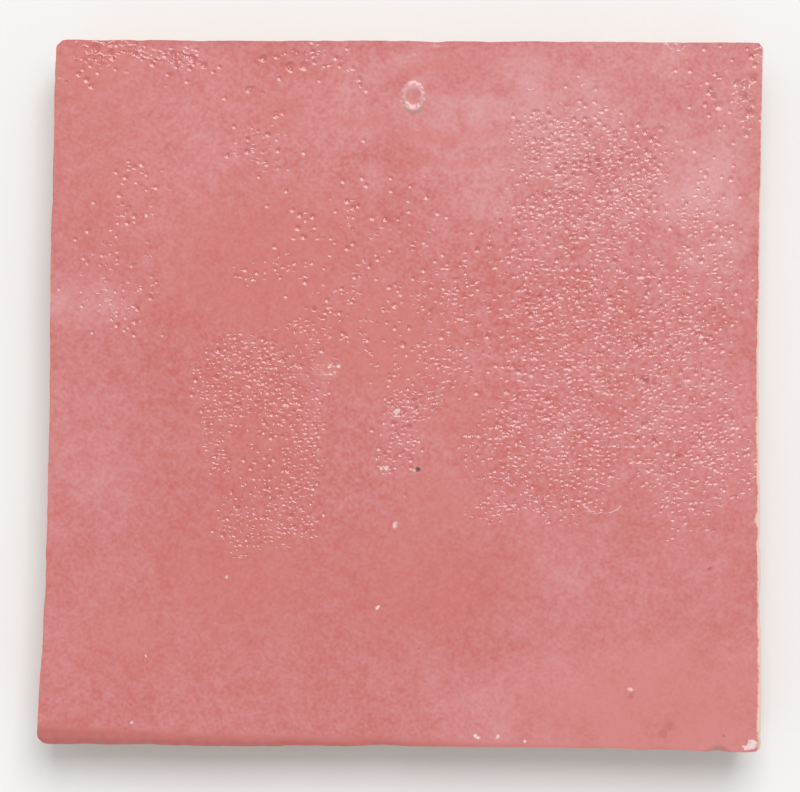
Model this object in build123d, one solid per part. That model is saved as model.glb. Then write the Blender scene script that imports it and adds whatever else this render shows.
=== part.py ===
from build123d import *
from dataclasses import dataclass
from math import cos, exp, pi, radians, sin
import os

# A square zellige tile: one slab of fired clay, cut by hand, with an uneven glazed face.
# Sizes are in millimetres. +X is the right of the tile, +Y its top, +Z out of the glazed face.
face_width = 99.5  # left to right, across the middle of the face
face_length = 98.4  # bottom to top, across the middle of the face
thickness = 11.0  # flat back to the mean level of the face

# The cut is out of square: how far one end of an edge stands from its other end.
left_lean = 2.7  # the left edge leans in towards the top
right_lean = 0.3  # the right edge leans out towards the top
top_fall = 0.6  # the top edge falls towards the right
bottom_fall = 1.0  # the bottom edge falls towards the right

# Each corner is rubbed round over its own reach along the two edges.
bottom_left_round = 1.8
bottom_right_round = 0.6
top_right_round = 0.7
top_left_round = 1.7

# Each edge wanders from its straight line: a bow at its middle and a sway either side of it.
bottom_bow = -0.22
bottom_sway = 0.15
right_bow = -0.30
right_sway = 0.06
top_bow = 0.10
top_sway = -0.03
left_bow = -0.42
left_sway = 0.20

# The sides are chiselled back under the face, so that tiles can be set edge to edge.
undercut = 1.5  # how far the foot of the sides stands inside the face
bite_pitch = 8.5  # one stroke of the chisel along a side
bite_depth = 0.45  # the deepest hollow that a stroke leaves, at the foot
bite_turn = 2.4  # radians from stroke to stroke, in the sine that makes them uneven
back_break = 0.6  # the broken edge of the back

# The glazed face: a wedge, a broad swell, a shorter ripple across it, and edges that fall away.
wedge_rise = 0.30  # the right edge stands this much thicker than the left
swell_height = 0.30
swell_pitch = 74.0
swell_heading = 62.0  # degrees from +X towards +Y
swell_start = 25.0  # how far the swell is shifted along its heading
ripple_height = 0.11
ripple_pitch = 31.0
ripple_heading = 155.0  # degrees from +X towards +Y
ripple_start = 4.0  # how far the ripple is shifted along its heading
edge_fall = 0.12  # glaze thins towards the edges
edge_reach = 5.0
rolled_fall = 0.85  # the bottom edge is rolled over at its left end, under the glaze
rolled_reach = 2.6
rolled_run = 42.0  # the roll dies away over this much of the edge
arris_fall = 0.05  # the rim itself is eased, all the way round
arris_reach = 0.4

# Flakes struck off the rim. A place is a share of the way along the edge, anticlockwise.
notch_width = 3.0  # near the right end of the bottom edge
notch_depth = 0.60
notch_place = 0.94
side_flake_width = 7.0  # low on the right edge
side_flake_depth = 0.40
side_flake_place = 0.21
nick_width = 2.4  # near the left end of the top edge
nick_depth = 0.35
nick_place = 0.93
corner_flake_width = 3.6  # on the bottom-right corner
corner_flake_depth = 0.40
rim_slant = 1.0  # how far out a flake of the rim faces, for each unit that it faces up
corner_slant = 0.35  # the corner's flake faces mostly up

# Working values of the face surface, and the height from which it cuts the slab down.
headroom = 3.0  # the slab is first made this much too tall
overlap_steps = 3  # the surface runs this many of its steps past the outline
first_step = 0.2  # its step at the edge
step_growth = 1.5  # each step inward is this much wider than the last
widest_step = 4.6  # up to this, in the middle
face_fit = 0.006  # how closely the surface follows its heights

BOTTOM, RIGHT, TOP, LEFT = range(4)
UP = Vector(0, 0, 1)


@dataclass(frozen=True)
class Corner:
    """One corner of the tile: its place on the face and how far its round reaches."""

    x: float
    y: float
    reach: float

    def at(self, inset: float, height: float) -> Vector:
        """The corner moved in towards the middle of the tile, at a height."""
        x = self.x - inset if self.x > 0 else self.x + inset
        y = self.y - inset if self.y > 0 else self.y + inset
        return Vector(x, y, height)


@dataclass(frozen=True)
class Wander:
    """How one edge wanders from the straight line between its corners."""

    bow: float
    sway: float

    def offset(self, share: float) -> float:
        """Distance outside the straight line, a share of the way along."""
        return self.bow * sin(pi * share) + self.sway * sin(2 * pi * share)


half_width = face_width / 2
half_length = face_length / 2
corners = (
    Corner(-half_width - left_lean / 2, -half_length + bottom_fall / 2, bottom_left_round),
    Corner(half_width - right_lean / 2, -half_length - bottom_fall / 2, bottom_right_round),
    Corner(half_width + right_lean / 2, half_length - top_fall / 2, top_right_round),
    Corner(-half_width + left_lean / 2, half_length + top_fall / 2, top_left_round),
)
wanders = (
    Wander(bottom_bow, bottom_sway),
    Wander(right_bow, right_sway),
    Wander(top_bow, top_sway),
    Wander(left_bow, left_sway),
)


def ends(edge: int) -> tuple[Corner, Corner]:
    """The two corners of an edge, in order round the tile."""
    return corners[edge], corners[(edge + 1) % len(corners)]


def side_curve(edge: int, height: float, inset: float, bite: float) -> Spline:
    """One side of the outline at a height, moved in and bitten by the chisel as given."""
    first, second = ends(edge)
    start = first.at(inset, height)
    end = second.at(inset, height)
    along = (end - start).normalized()
    outward = along.cross(UP)
    strokes = round((second.at(0, height) - first.at(0, height)).length / bite_pitch)
    run = (end - start).length - first.reach - second.reach
    points = []
    for step in range(2 * strokes + 1):
        share = step / (2 * strokes)
        bitten = step % 2 == 1 and 1 < step < 2 * strokes - 1
        hollow = bite * (1 + sin(bite_turn * (step + edge))) / 2 if bitten else 0
        away = wanders[edge].offset(share) - hollow
        points.append(start + along * (first.reach + run * share) + outward * away)
    return Spline(points)


def outline(height: float, inset: float, bite: float) -> Face:
    """The closed outline of the slab at a height."""
    sides = [side_curve(edge, height, inset, bite) for edge in (BOTTOM, RIGHT, TOP, LEFT)]
    pieces = []
    for edge, side in enumerate(sides):
        following = (edge + 1) % len(sides)
        corner = corners[following].at(inset, height)
        pieces.append(side)
        pieces.append(Bezier(side @ 1, corner, sides[following] @ 0))
    return make_face(pieces)


def edge_point(edge: int, share: float) -> Vector:
    """A point of the face outline, with its corners left sharp, in plan."""
    first, second = ends(edge)
    line = second.at(0, 0) - first.at(0, 0)
    outward = line.normalized().cross(UP)
    return first.at(0, 0) + line * share + outward * wanders[edge].offset(share)


def plan_point(across: float, up: float) -> Vector:
    """The place in plan at shares of the width and the length, following all four edges."""
    between_rows = edge_point(BOTTOM, across) * (1 - up) + edge_point(TOP, 1 - across) * up
    between_columns = edge_point(LEFT, 1 - up) * (1 - across) + edge_point(RIGHT, up) * across
    lower = corners[0].at(0, 0) * (1 - across) + corners[1].at(0, 0) * across
    upper = corners[3].at(0, 0) * (1 - across) + corners[2].at(0, 0) * across
    return between_rows + between_columns - lower * (1 - up) - upper * up


def wave(place: Vector, heading: float, pitch: float, start: float) -> float:
    """A sine wave that travels across the plan, from -1 to 1."""
    angle = radians(heading)
    return sin(2 * pi * (place.X * cos(angle) + place.Y * sin(angle) + start) / pitch)


def fall(distance: float, drop: float, reach: float) -> float:
    """How far the face has dropped at a distance in from an edge."""
    return drop * max(0.0, 1 - distance / reach) ** 2


def face_point(across: float, up: float) -> Vector:
    """A point of the glazed face, its place given as shares of the width and the length."""
    place = plan_point(across, up)
    height = thickness + wedge_rise * (across - 0.5)
    height += swell_height * wave(place, swell_heading, swell_pitch, swell_start)
    height += ripple_height * wave(place, ripple_heading, ripple_pitch, ripple_start)
    from_left = across * face_width
    from_bottom = up * face_length
    for distance in (from_left, face_width - from_left, from_bottom, face_length - from_bottom):
        height -= fall(distance, edge_fall, edge_reach)
        height -= fall(distance, arris_fall, arris_reach)
    roll = rolled_fall * exp(-((from_left / rolled_run) ** 2))
    height -= fall(from_bottom, roll, rolled_reach)
    return Vector(place.X, place.Y, height)


def stations(size: float) -> list[float]:
    """Shares across the face: close together at both edges and wider in the middle."""
    inner = [0.0]
    step = first_step
    while inner[-1] < size / 2:
        inner.append(inner[-1] + step)
        step = min(step * step_growth, widest_step)
    outer = [-first_step * count for count in range(overlap_steps, 0, -1)]
    near = [distance / (2 * inner[-1]) for distance in outer + inner]
    return near + [1 - share for share in reversed(near[:-1])]


def flake(rim: Vector, outward: Vector, width: float, depth: float, slant: float) -> Part:
    """A round-bottomed flake off the rim, as wide, as deep and as slanted as given."""
    radius = (width**2 / 4 + depth**2) / (2 * depth)
    lean = (outward.normalized() * slant + UP).normalized()
    return Pos(*(rim + lean * (radius - depth))) * Sphere(radius)


def corner_rim(rim: Vector, corner: Corner) -> Vector:
    """The middle of a corner's round, in from the sharp corner of the rim."""
    inward = corner.at(corner.reach / 4, 0) - corner.at(0, 0)
    return rim + inward


slab = loft(
    [
        outline(0, undercut + back_break, bite_depth),
        outline(back_break, undercut, bite_depth),
        outline(thickness + headroom, -undercut * headroom / thickness, 0),
    ],
    ruled=True,
)
face = Face.make_surface_from_array_of_points(
    [[face_point(across, up) for up in stations(face_length)] for across in stations(face_width)],
    tol=face_fit,
    min_deg=3,
    max_deg=5,
)
tile = split(slab, bisect_by=face, keep=Keep.BOTTOM)
notch_rim = face_point(notch_place, 0)
side_rim = face_point(1, side_flake_place)
nick_rim = face_point(1 - nick_place, 1)
tile -= flake(notch_rim, Vector(0, -1, 0), notch_width, notch_depth, rim_slant)
tile -= flake(side_rim, Vector(1, 0, 0), side_flake_width, side_flake_depth, rim_slant)
tile -= flake(nick_rim, Vector(0, 1, 0), nick_width, nick_depth, rim_slant)
lower_right = corners[1]
tile -= flake(
    corner_rim(face_point(1, 0), lower_right),
    Vector(1, -1, 0),
    corner_flake_width,
    corner_flake_depth,
    corner_slant,
)

box = tile.bounding_box()
tile = Pos(-box.center().X, -box.center().Y, -box.min.Z) * tile
os.makedirs("parts", exist_ok=True)
export_step(tile, "parts/tile.step")
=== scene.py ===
"""Dresses a hand-cut zellige tile: a fine skin over the slab, with its glaze, its clay and its wear."""

import logging
import math
from collections.abc import Iterable, Mapping
from dataclasses import dataclass
from enum import Enum
from functools import cached_property, reduce

import bpy
import numpy as np
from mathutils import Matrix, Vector, noise
from mathutils.bvhtree import BVHTree
from mathutils.geometry import delaunay_2d_cdt

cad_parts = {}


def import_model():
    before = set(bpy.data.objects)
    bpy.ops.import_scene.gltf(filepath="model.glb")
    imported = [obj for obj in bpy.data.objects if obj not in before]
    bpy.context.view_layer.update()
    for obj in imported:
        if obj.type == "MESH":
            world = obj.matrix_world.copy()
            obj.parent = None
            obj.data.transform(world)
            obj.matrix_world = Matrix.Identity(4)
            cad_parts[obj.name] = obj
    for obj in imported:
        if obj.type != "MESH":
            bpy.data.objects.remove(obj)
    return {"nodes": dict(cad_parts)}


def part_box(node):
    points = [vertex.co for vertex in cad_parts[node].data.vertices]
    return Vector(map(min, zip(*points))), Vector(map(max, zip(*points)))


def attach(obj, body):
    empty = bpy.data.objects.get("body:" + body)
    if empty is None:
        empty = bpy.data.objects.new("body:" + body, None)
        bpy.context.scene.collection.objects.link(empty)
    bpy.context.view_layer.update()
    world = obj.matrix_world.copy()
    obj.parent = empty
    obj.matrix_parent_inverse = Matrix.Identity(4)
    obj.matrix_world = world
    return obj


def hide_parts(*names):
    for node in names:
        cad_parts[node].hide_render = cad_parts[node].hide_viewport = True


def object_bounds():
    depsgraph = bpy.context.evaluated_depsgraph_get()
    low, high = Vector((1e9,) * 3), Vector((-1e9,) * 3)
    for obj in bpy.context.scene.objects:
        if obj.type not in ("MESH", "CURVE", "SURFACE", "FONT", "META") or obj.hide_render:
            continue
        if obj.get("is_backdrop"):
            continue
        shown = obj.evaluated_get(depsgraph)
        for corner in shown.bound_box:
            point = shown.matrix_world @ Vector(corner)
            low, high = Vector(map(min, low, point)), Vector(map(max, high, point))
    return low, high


LOG = logging.getLogger("zellige")
MM = 0.001

Triple = tuple[float, float, float]
Colour = tuple[float, float, float, float]


class Side(Enum):
    """The sides of the tile, anticlockwise from the bottom, each with its way out in plan."""

    BOTTOM = (0.0, -1.0)
    RIGHT = (1.0, 0.0)
    TOP = (0.0, 1.0)
    LEFT = (-1.0, 0.0)

    @property
    def out(self) -> Vector:
        """The way out of the tile through this side."""
        return Vector((*self.value, 0.0))


class Trait(Enum):
    """What each point of the skin knows about its place, for the finish to read."""

    BELOW = "below_rim"
    BARE = "bare"
    DIMPLED = "dimpled"
    PITTED = "pitted"
    BEADED = "beaded"
    HAZE = "haze_and_sheen"
    WARMTH = "warmth"
    ROLLED = "rolled"
    FLAKED = "flaked"
    LIVELY = "lively"
    CLOUDED = "clouded"
    SMUDGED = "smudged"


@dataclass(frozen=True)
class Patch:
    """A soft oval area of the face, in millimetres from its middle."""

    x: float
    y: float
    across: float
    up: float
    strength: float
    firmness: float = 1.5

    def cover(self, x: np.ndarray, y: np.ndarray) -> np.ndarray:
        """How strongly the patch covers points of the face.

        Args:
            x: How far the points lie to the right of the middle.
            y: How far they lie above it.

        Returns:
            The patch's strength at its middle, falling softly to 0 outside it.
        """
        away = ((x - self.x) / self.across) ** 2 + ((y - self.y) / self.up) ** 2
        return self.strength * np.exp(-(away**self.firmness))


@dataclass(frozen=True)
class Spot:
    """A small round mark in the glaze, in millimetres from the middle of the face."""

    x: float
    y: float
    radius: float
    strength: float


@dataclass(frozen=True)
class Ring:
    """An oval line in the glaze, such as a bubble leaves, in millimetres from the middle of the face."""

    x: float
    y: float
    across: float
    up: float
    line: float
    lower_half: bool


def covered(patches: Iterable[Patch], x: np.ndarray, y: np.ndarray) -> np.ndarray:
    """The strongest cover that any of some patches gives to points of the face.

    Args:
        patches: The patches.
        x: How far the points lie to the right of the middle.
        y: How far they lie above it.

    Returns:
        The cover of each point.
    """
    return np.maximum.reduce([patch.cover(x, y) for patch in patches])


@dataclass(frozen=True)
class Lumps:
    """Smooth chance unevenness: its height, how far apart its lumps are and where in it to start."""

    height: float
    pitch: float
    start: float
    folds: tuple[int, ...] = (1, 2, 4)

    def share(self, points: np.ndarray) -> np.ndarray:
        """The unevenness at points as a share of its height, from about -1 to 1."""
        shift = Vector((self.start, self.start, self.start))
        return np.array([noise.noise(Vector(point) / self.pitch + shift) for point in points])

    def swing(self, points: np.ndarray) -> np.ndarray:
        """The unevenness at points, by about its height up and down."""
        return self.height * self.share(points)

    def raised(self, points: np.ndarray, floor: float = 0.0) -> np.ndarray:
        """What stands over a floor, which is given as a share of the height."""
        return self.height * np.clip(self.share(points) - floor, 0, 1)

    def folded(self, points: np.ndarray) -> np.ndarray:
        """The mean of the unevenness at points and of ever finer and lower folds of it."""
        folds = [Lumps(self.height / fold, self.pitch / fold, self.start + fold) for fold in self.folds]
        return sum(fold.swing(points) for fold in folds) / len(folds)


def cells(grid: np.ndarray) -> np.ndarray:
    """The corners of each cell of a grid, anticlockwise, from a value for each of its points."""
    return np.stack([grid[:-1, :-1], grid[1:, :-1], grid[1:, 1:], grid[:-1, 1:]], axis=2)


class SlabProbe:
    """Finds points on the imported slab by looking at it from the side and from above."""

    far: float = 80.0
    grazing: float = 0.004

    def __init__(self, node: bpy.types.Object) -> None:
        """Reads the slab.

        Args:
            node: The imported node, at the origin.
        """
        places = [vertex.co / MM for vertex in node.data.vertices]
        corners = [tuple(polygon.vertices) for polygon in node.data.polygons]
        self.tree = BVHTree.FromPolygons(places, corners)

    def from_side(self, aim: Vector, out: Vector) -> tuple[Vector, Vector] | None:
        """Looks in at the slab, level, from outside.

        Args:
            aim: A point that the line of sight passes through.
            out: The way out of the tile, against which the sight runs.

        Returns:
            The point seen and the way it faces, or None where the slab is missed.
        """
        level = Vector((aim.x, aim.y, max(aim.z, self.grazing)))
        place, facing, _, _ = self.tree.ray_cast(level + out * self.far, -out)
        return None if place is None else (Vector((place.x, place.y, aim.z)), facing)

    def from_above(self, x: float, y: float, missing: float) -> float:
        """The height of the slab over a place, or the missing value outside it."""
        place, _, _, _ = self.tree.ray_cast(Vector((x, y, self.far)), Vector((0, 0, -1)))
        return missing if place is None else place.z


@dataclass(frozen=True)
class Lattice:
    """The lattice of points across the face, as rising shares of its width and its length."""

    across: np.ndarray
    up: np.ndarray
    width: float
    length: float

    def numbers(self) -> np.ndarray:
        """The number of each point of the lattice, by column and row."""
        return np.arange(len(self.across) * len(self.up)).reshape(len(self.across), len(self.up))

    def side_counts(self) -> list[int]:
        """How many steps the walk takes along each side, anticlockwise from the bottom."""
        return [len(self.across) - 1, len(self.up) - 1] * 2

    def walk(self) -> np.ndarray:
        """Numbers of the edge points of the lattice, anticlockwise from the bottom left."""
        numbers = self.numbers()
        return np.concatenate([numbers[:-1, 0], numbers[-1, :-1], numbers[:0:-1, -1], numbers[0, :0:-1]])

    def edges(self, loop: np.ndarray) -> tuple[np.ndarray, np.ndarray, np.ndarray, np.ndarray]:
        """Cuts a closed loop of edge values into the four sides.

        Args:
            loop: One value, or one point, for each edge point of the lattice, as walked.

        Returns:
            The bottom and the top from left to right, and the left and the right from bottom to top.
        """
        closed = np.concatenate([loop, loop[:1]])
        columns, rows = len(self.across), len(self.up)
        bottom = closed[:columns]
        right = closed[columns - 1 : columns + rows - 1]
        top = closed[columns + rows - 2 : 2 * columns + rows - 2][::-1]
        left = closed[2 * columns + rows - 3 :][::-1]
        return bottom, top, left, right

    def fill(self, loop: np.ndarray) -> np.ndarray:
        """Spans a closed loop of points with the lattice.

        Args:
            loop: The edge points, as walked.

        Returns:
            The points of the lattice, by column and row.
        """
        bottom, top, left, right = self.edges(loop)
        u = self.across[:, None, None]
        v = self.up[None, :, None]
        corners = (1 - u) * ((1 - v) * bottom[0] + v * top[0]) + u * ((1 - v) * bottom[-1] + v * top[-1])
        between = (1 - v) * bottom[:, None] + v * top[:, None] + (1 - u) * left[None] + u * right[None]
        return between - corners

    def soak(self, loop: np.ndarray, reach: float) -> np.ndarray:
        """Carries edge values in across the face, dying out over a reach.

        Args:
            loop: One value for each edge point, as walked.
            reach: How far in from the edge the values die out.

        Returns:
            The value at each point of the lattice.
        """
        bottom, top, left, right = self.edges(loop)
        x = self.across * self.width
        y = self.up * self.length
        from_left, from_right = np.clip(1 - np.stack([x, self.width - x]) / reach, 0, 1)
        from_bottom, from_top = np.clip(1 - np.stack([y, self.length - y]) / reach, 0, 1)
        return np.maximum.reduce(
            [
                bottom[:, None] * from_bottom[None, :],
                top[:, None] * from_top[None, :],
                left[None, :] * from_left[:, None],
                right[None, :] * from_right[:, None],
            ]
        )

    def inside(self) -> np.ndarray:
        """How far each point of the lattice lies in from the nearest edge."""
        x = np.minimum(self.across, 1 - self.across) * self.width
        y = np.minimum(self.up, 1 - self.up) * self.length
        return np.minimum(x[:, None], y[None, :])


@dataclass(frozen=True)
class BakeSheet:
    """Where the face, the sides and the back lie on the square that their finish is baked to."""

    margin: float = 0.005
    face_share: float = 0.78
    strip_start: float = 0.80
    strip_pitch: float = 0.10
    strip_depth: float = 0.09
    back_share: float = 0.19

    def face(self, across: np.ndarray, up: np.ndarray) -> np.ndarray:
        """Places on the sheet for shares of the face's width and length."""
        return self.margin + self.face_share * np.stack([across, up], axis=-1)

    def strip(self, number: int, along: np.ndarray, rise: np.ndarray) -> np.ndarray:
        """Places on the sheet for points of a side.

        Args:
            number: Which side, anticlockwise from the bottom.
            along: Shares of the way along the side.
            rise: Shares of the way from its foot to the rim.

        Returns:
            Two strips above the face for the bottom and the top, and two to its right for the others.
        """
        run = self.margin + self.face_share * along
        away = self.strip_start + self.strip_pitch * (number // 2) + self.strip_depth * rise
        if number % 2 == 0:
            return np.stack([run, away], axis=-1)
        return np.stack([away, self.face_share + 2 * self.margin - run], axis=-1)

    def back(self, across: np.ndarray, up: np.ndarray) -> np.ndarray:
        """Places on the sheet for shares of the back's width and length, seen from behind."""
        run = 1 - self.margin - self.back_share * across
        return np.stack([run, self.strip_start + self.back_share * up], axis=-1)


@dataclass(frozen=True)
class GlazeMap:
    """Where on the face the glaze is dimpled, pitted, beaded, lively, hazy and painted paler as sheen, warm
    or flaked off.
    """

    drift_across: Lumps = Lumps(3.0, 11.0, 8.3)
    drift_up: Lumps = Lumps(3.0, 11.0, 12.9)
    clouds: Lumps = Lumps(1.0, 17.0, 20.4)
    smudges: Lumps = Lumps(1.0, 5.0, 27.9)
    flaked: tuple[Patch, ...] = (
        Patch(48.9, -48.4, 0.8, 0.7, 1.0, 3.0),
        Patch(48.2, -48.8, 0.7, 0.4, 1.0, 3.0),
    )
    dimpled: tuple[Patch, ...] = (
        Patch(-19.5, 1.5, 9.5, 7.8, 0.95, 4.0),
        Patch(-13.8, -7.0, 4.2, 7.0, 0.90, 3.0),
        Patch(-26.0, -7.0, 2.6, 6.0, 0.80, 3.0),
        Patch(-18.0, -15.5, 8.5, 6.0, 0.85, 3.0),
        Patch(-21.5, -19.5, 4.0, 3.0, 0.70, 3.0),
        Patch(-20.0, -7.0, 6.0, 5.0, 0.55, 2.0),
        Patch(-12.0, 9.5, 6.5, 4.5, 0.62, 2.0),
        Patch(-10.5, 0.0, 2.5, 6.0, 0.62, 2.0),
        Patch(2.0, -0.6, 5.2, 2.8, 1.00, 3.0),
        Patch(1.2, -5.6, 3.2, 2.8, 0.95, 3.0),
        Patch(-2.0, -9.4, 1.8, 2.8, 0.90, 2.0),
        Patch(-36.0, 47.3, 10.0, 1.8, 0.70, 2.0),
        Patch(-12.0, 46.8, 8.0, 2.0, 0.60, 2.0),
        Patch(26.0, 29.0, 13.0, 14.0, 0.85, 2.5),
        Patch(29.0, 8.0, 20.0, 15.0, 0.75, 2.5),
        Patch(20.5, -6.5, 11.0, 11.5, 0.88, 2.5),
        Patch(39.0, -5.0, 11.0, 14.0, 0.80, 2.5),
        Patch(42.0, 18.0, 6.0, 14.0, 0.70, 2.0),
        Patch(9.0, 12.0, 12.0, 14.0, 0.56, 2.0),
        Patch(6.5, 4.5, 6.5, 5.0, 0.74, 2.0),
        Patch(-5.0, 6.5, 5.5, 6.0, 0.54, 2.0),
        Patch(14.0, -14.8, 3.6, 2.2, 0.90, 2.0),
        Patch(-7.0, 18.0, 14.0, 12.0, 0.42, 2.0),
        Patch(-20.0, 19.0, 8.0, 5.0, 0.46, 2.0),
        Patch(-39.0, 16.0, 7.0, 9.0, 0.54, 2.0),
        Patch(-38.0, 28.0, 6.0, 8.0, 0.44, 2.0),
        Patch(-19.0, 35.0, 6.0, 7.0, 0.48, 2.0),
        Patch(44.0, 44.0, 7.0, 5.0, 0.42, 2.0),
    )
    pitted: tuple[Patch, ...] = (
        Patch(-39.0, 20.0, 8.0, 15.0, 0.30, 2.0),
        Patch(-19.0, 36.0, 6.0, 11.0, 0.42, 2.0),
        Patch(-36.0, 46.0, 11.0, 3.0, 0.50, 2.0),
        Patch(-12.0, 46.0, 9.0, 3.0, 0.35, 2.0),
        Patch(45.0, 42.0, 6.0, 7.0, 0.50, 2.0),
        Patch(-4.0, 20.0, 16.0, 15.0, 0.32, 2.0),
        Patch(-18.5, -14.0, 8.0, 7.0, 0.70, 2.0),
        Patch(-19.0, 1.0, 9.0, 8.0, 0.60, 3.0),
        Patch(27.0, 33.0, 11.0, 9.5, 1.0, 2.5),
        Patch(22.0, 22.0, 8.0, 9.0, 0.80, 2.0),
        Patch(29.0, 6.0, 19.0, 20.0, 0.45, 2.0),
        Patch(43.0, 22.0, 7.0, 18.0, 0.50, 2.0),
        Patch(1.0, -4.0, 5.0, 8.0, 0.75, 2.0),
    )
    beaded: tuple[Patch, ...] = (
        Patch(-36.0, 47.2, 11.0, 1.9, 0.75),
        Patch(43.0, 49.5, 3.8, 1.6, 0.95),
        Patch(38.8, 47.2, 1.6, 1.0, 0.55),
        Patch(49.3, 46.9, 1.3, 2.2, 0.90),
        Patch(48.3, 40.5, 2.1, 4.2, 0.85),
        Patch(-9.3, 4.2, 1.6, 1.2, 0.90),
    )
    lively: tuple[Patch, ...] = (
        Patch(28.0, 18.0, 30.0, 34.0, 1.0, 2.0),
        Patch(-14.0, 2.0, 18.0, 24.0, 0.8, 2.0),
        Patch(-12.0, 38.0, 22.0, 16.0, 0.6, 2.0),
        Patch(-38.0, 20.0, 12.0, 22.0, 0.35, 2.0),
    )
    # Hazy patches: the coat gives real sheen there, and the glaze is also painted paler there, partly as
    # painted sheen.
    haze_and_sheen: tuple[Patch, ...] = (
        Patch(2.0, 40.0, 14.0, 7.0, 0.55),
        Patch(30.0, 40.0, 22.0, 9.0, 0.7),
        Patch(43.0, 26.0, 9.0, 12.0, 1.15),
        Patch(46.5, 22.0, 3.5, 4.5, 1.8),
        Patch(30.0, 24.0, 14.0, 9.0, 0.55),
        Patch(21.0, 30.0, 6.0, 3.0, 0.7),
        Patch(9.5, 34.0, 7.0, 10.5, 0.8),
        Patch(9.5, 38.5, 6.5, 3.2, 1.4),
        Patch(14.0, 26.0, 4.0, 4.0, 0.6),
        Patch(-9.4, 4.2, 1.6, 1.4, 0.9),
        Patch(-2.5, 30.0, 4.5, 3.0, 0.6),
        Patch(-0.5, 46.5, 5.0, 2.5, 0.9),
        Patch(16.0, 46.0, 6.0, 3.0, 0.85),
        Patch(35.0, 46.0, 6.0, 3.0, 0.95),
        Patch(-44.0, 13.0, 7.0, 4.5, 0.8),
        Patch(32.0, -43.0, 24.0, 12.0, 0.95),
        Patch(36.0, -27.0, 8.0, 5.0, 0.35),
        Patch(16.0, -32.0, 5.0, 4.0, 0.4),
        Patch(8.0, -40.0, 10.0, 8.0, 0.35),
        Patch(22.0, -24.0, 8.0, 8.0, 0.35),
        Patch(-45.0, -8.0, 10.0, 14.0, 0.4),
        Patch(20.0, -6.0, 5.0, 4.0, 0.45),
        Patch(41.0, -4.0, 12.0, 12.0, 0.25),
    )
    warmth: tuple[Patch, ...] = (
        Patch(-19.0, 18.0, 14.0, 10.0, 1.0),
        Patch(-20.0, -4.0, 9.0, 14.0, 0.7),
        Patch(-41.0, 31.0, 7.0, 14.0, 0.4),
        Patch(-22.0, -24.0, 12.0, 10.0, 0.7),
        Patch(2.0, -25.0, 14.0, 9.0, 0.7),
        Patch(36.0, -43.0, 20.0, 10.0, 1.0),
        Patch(-3.0, 8.0, 10.0, 8.0, 1.0),
        Patch(-14.0, 10.5, 6.0, 4.5, 1.1),
        Patch(9.5, -2.0, 4.0, 4.0, 0.5),
        Patch(-38.0, -34.0, 7.0, 5.0, 0.45),
        Patch(6.0, -14.5, 8.0, 4.0, 0.65),
        Patch(-42.0, 46.0, 5.0, 3.0, 0.9),
        Patch(5.5, 45.4, 5.0, 1.3, 0.7),
        Patch(-20.0, 41.0, 5.0, 1.5, 0.5),
        Patch(4.0, 36.4, 7.0, 0.9, 0.7),
        Patch(6.0, 33.0, 6.0, 0.8, 0.6),
        Patch(-6.0, 38.4, 5.0, 0.8, 0.6),
        Patch(-17.0, 38.5, 4.5, 2.2, 0.8),
        Patch(-13.0, 44.0, 4.0, 1.2, 0.6),
    )

    def traits(self, points: np.ndarray) -> dict[Trait, np.ndarray]:
        """Reads the map at points of the skin.

        Args:
            points: The points, one a row.

        Returns:
            The value of each of the map's traits at every point.
        """
        level = points * (1, 1, 0)
        x = points[:, 0] + self.drift_across.swing(level)
        y = points[:, 1] + self.drift_up.swing(level)
        drifting = {
            Trait.DIMPLED: self.dimpled,
            Trait.PITTED: self.pitted,
            Trait.BEADED: self.beaded,
            Trait.HAZE: self.haze_and_sheen,
            Trait.WARMTH: self.warmth,
            Trait.LIVELY: self.lively,
        }
        traits = {trait: covered(patches, x, y) for trait, patches in drifting.items()}
        traits[Trait.FLAKED] = covered(self.flaked, points[:, 0], points[:, 1])
        traits[Trait.CLOUDED] = self.clouds.folded(points)
        traits[Trait.SMUDGED] = self.smudges.folded(points)
        return traits


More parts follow.
